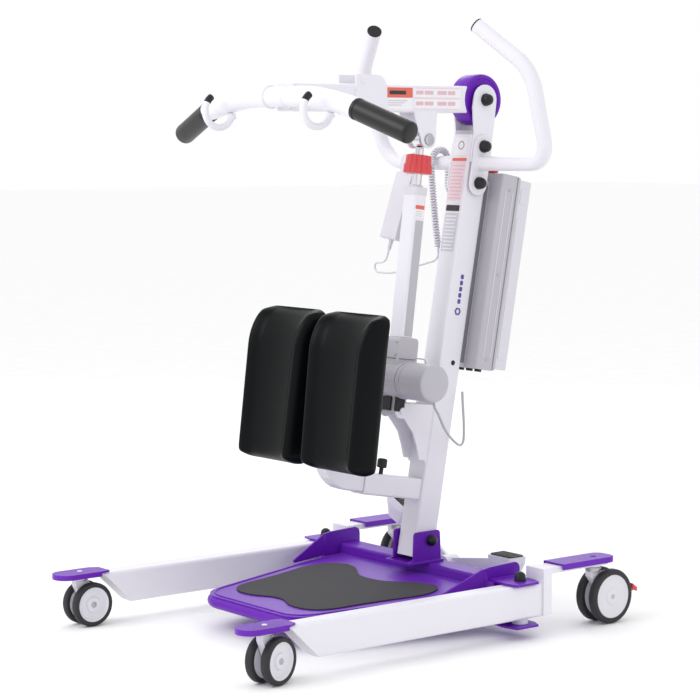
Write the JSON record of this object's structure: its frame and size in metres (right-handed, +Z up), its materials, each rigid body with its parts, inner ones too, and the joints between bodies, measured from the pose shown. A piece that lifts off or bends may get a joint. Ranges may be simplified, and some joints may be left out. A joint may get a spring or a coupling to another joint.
{
  "type": "sit to stand lift",
  "caption": "Wheeled stand-up lift: spreading legs, foot tray, two shin pads, leaning mast and a powered boom with hand grips.",
  "frame": {"origin": "on the floor, at the middle of the lift's length and width", "axes": "+Z up, -Y towards the patient, +X to the lift's right-hand side"},
  "size_m": [0.838, 1.12, 1.3685],
  "materials": {
    "white_coat": "satin powder coat",
    "purple_coat": "satin powder coat",
    "pad_skin": "satin moulded skin",
    "black_plastic": "satin",
    "mat_rubber": "matte textured",
    "grey_plastic": "satin",
    "pale_plastic": "satin",
    "red_plastic": "satin",
    "bright_steel": "polished",
    "tyre": "matte"
  },
  "bodies": {
    "base": {"cross_beam": "purple_coat", "footplate_rim": "purple_coat", "footplate": "purple_coat", "footplate_mat": "mat_rubber", "side_bracket_left": "purple_coat", "side_bracket_right": "purple_coat", "leg_pivot_bolt_left": "black_plastic", "leg_pivot_bolt_right": "black_plastic", "mast_socket": "purple_coat", "mast_bolt": "black_plastic", "mast": "white_coat", "head_plate_left": "white_coat", "head_plate_right": "white_coat", "boom_pivot_bolt": "black_plastic", "head_bolt_upper": "black_plastic", "head_bolt_lower": "black_plastic", "push_handle_left": "white_coat", "push_handle_right": "white_coat", "actuator_bracket": "white_coat", "knee_arm": "white_coat", "control_box": "grey_plastic", "battery": "pale_plastic", "handset": "pale_plastic", "handset_lead": "pale_plastic", "curly_cord": "pale_plastic", "motor_cable": "black_plastic"},
    "boom_arm": {"boom": "white_coat", "boom_drum": "purple_coat", "spreader_bar": "white_coat", "grip_left": "black_plastic", "grip_right": "black_plastic", "hook_left": "white_coat", "hook_right": "white_coat"},
    "actuator_body": {"gearbox": "grey_plastic", "motor": "grey_plastic", "actuator_tube": "white_coat"},
    "actuator_stem": {"actuator_rod": "bright_steel"},
    "collar": {"release_collar": "red_plastic"},
    "knee_slide": {"knee_carriage": "white_coat"},
    "knee_rest": {"pad_bracket": "white_coat", "knee_pad_left": "pad_skin", "knee_pad_right": "pad_skin"},
    "stop_knob": {"stop_button": "red_plastic"},
    "foot_rocker": {"spread_pedal": "white_coat"},
    "leg_arm_right": {"leg_right": "white_coat", "front_plate_right": "purple_coat", "rear_plate_right": "purple_coat"},
    "front_caster_right": {"front_fork_right": "white_coat"},
    "front_wheels_right": {"front_wheel_right": "tyre"},
    "rear_caster_right": {"rear_fork_right": "white_coat"},
    "rear_wheels_right": {"rear_wheel_right": "tyre"},
    "brake_right": {"brake_pedal_right": "red_plastic"},
    "leg_arm_left": {"leg_left": "white_coat", "front_plate_left": "purple_coat", "rear_plate_left": "purple_coat"},
    "front_caster_left": {"front_fork_left": "white_coat"},
    "front_wheels_left": {"front_wheel_left": "tyre"},
    "rear_caster_left": {"rear_fork_left": "white_coat"},
    "rear_wheels_left": {"rear_wheel_left": "tyre"},
    "brake_left": {"brake_pedal_left": "red_plastic"}
  },
  "joints": [
    {"name": "boom_raise", "type": "hinge", "parent": "base", "child": "boom_arm", "pos_m": [0, 0.384, 1.192], "axis": [-1, 0, 0], "range_deg": [-8, 45]},
    {"name": "actuator_tilt", "type": "hinge", "parent": "base", "child": "actuator_body", "pos_m": [0, 0.137, 0.48], "axis": [1, 0, 0], "range_deg": [-0.47, 2.62]},
    {"name": "actuator_stroke", "type": "slide", "parent": "actuator_body", "child": "actuator_stem", "axis": [0, 0.1266, 0.992], "range_m": [-0.0256, 0.1437]},
    {"name": "collar_turn", "type": "hinge", "parent": "actuator_stem", "child": "collar", "pos_m": [0, 0.216, 1.099], "axis": [0, 0.1266, 0.992], "range_deg": [0, 45]},
    {"name": "knee_reach", "type": "slide", "parent": "base", "child": "knee_slide", "axis": [0, -0.9842, 0.1771], "range_m": [0, 0.05]},
    {"name": "knee_height", "type": "slide", "parent": "knee_slide", "child": "knee_rest", "axis": [0, 0.1219, 0.9925], "range_m": [-0.05, 0.05]},
    {"name": "stop_press", "type": "slide", "parent": "base", "child": "stop_knob", "axis": [0, -0.1771, -0.9842], "range_m": [0, 0.004]},
    {"name": "leg_spread_right", "type": "hinge", "parent": "base", "child": "leg_arm_right", "pos_m": [0.351, 0.211, 0.08], "axis": [0, 0, 1], "range_deg": [0, 12]},
    {"name": "leg_spread_left", "type": "hinge", "parent": "base", "child": "leg_arm_left", "pos_m": [-0.351, 0.211, 0.08], "axis": [0, 0, -1], "range_deg": [0, 12.01]},
    {"name": "pedal_rock", "type": "hinge", "parent": "base", "child": "foot_rocker", "pos_m": [-0.021, 0.325, 0.095], "axis": [0, -1, 0], "range_deg": [0, 25.01]},
    {"name": "front_swivel_right", "type": "hinge", "parent": "leg_arm_right", "child": "front_caster_right", "pos_m": [0.354, -0.493, 0.1], "axis": [0, 0, 1], "continuous": true},
    {"name": "front_roll_right", "type": "hinge", "parent": "front_caster_right", "child": "front_wheels_right", "pos_m": [0.34882, -0.47368, 0.05], "axis": [0.9659, 0.2588, 0], "continuous": true},
    {"name": "rear_swivel_right", "type": "hinge", "parent": "leg_arm_right", "child": "rear_caster_right", "pos_m": [0.354, 0.434, 0.1], "axis": [0, 0, 1], "continuous": true},
    {"name": "rear_roll_right", "type": "hinge", "parent": "rear_caster_right", "child": "rear_wheels_right", "pos_m": [0.354, 0.47, 0.0625], "axis": [1, 0, 0], "continuous": true},
    {"name": "brake_press_right", "type": "hinge", "parent": "rear_caster_right", "child": "brake_right", "pos_m": [0.354, 0.472, 0.11], "axis": [-1, 0, 0], "range_deg": [0, 10]},
    {"name": "front_swivel_left", "type": "hinge", "parent": "leg_arm_left", "child": "front_caster_left", "pos_m": [-0.354, -0.493, 0.1], "axis": [0, 0, 1], "continuous": true},
    {"name": "front_roll_left", "type": "hinge", "parent": "front_caster_left", "child": "front_wheels_left", "pos_m": [-0.354, -0.473, 0.05], "axis": [1, 0, 0], "continuous": true},
    {"name": "rear_swivel_left", "type": "hinge", "parent": "leg_arm_left", "child": "rear_caster_left", "pos_m": [-0.354, 0.434, 0.1], "axis": [0, 0, 1], "continuous": true},
    {"name": "rear_roll_left", "type": "hinge", "parent": "rear_caster_left", "child": "rear_wheels_left", "pos_m": [-0.354, 0.47, 0.0625], "axis": [1, 0, 0], "continuous": true},
    {"name": "brake_press_left", "type": "hinge", "parent": "rear_caster_left", "child": "brake_left", "pos_m": [-0.354, 0.472, 0.11], "axis": [-1, 0, 0], "range_deg": [0, 10]}
  ],
  "couplings": [
    {"joint": "actuator_tilt", "follows": "boom_raise", "ratio": 0.058},
    {"joint": "actuator_stroke", "follows": "boom_raise", "m_per_rad": 0.18275},
    {"joint": "leg_spread_left", "follows": "leg_spread_right", "ratio": 1},
    {"joint": "pedal_rock", "follows": "leg_spread_right", "ratio": 2.0833}
  ]
}
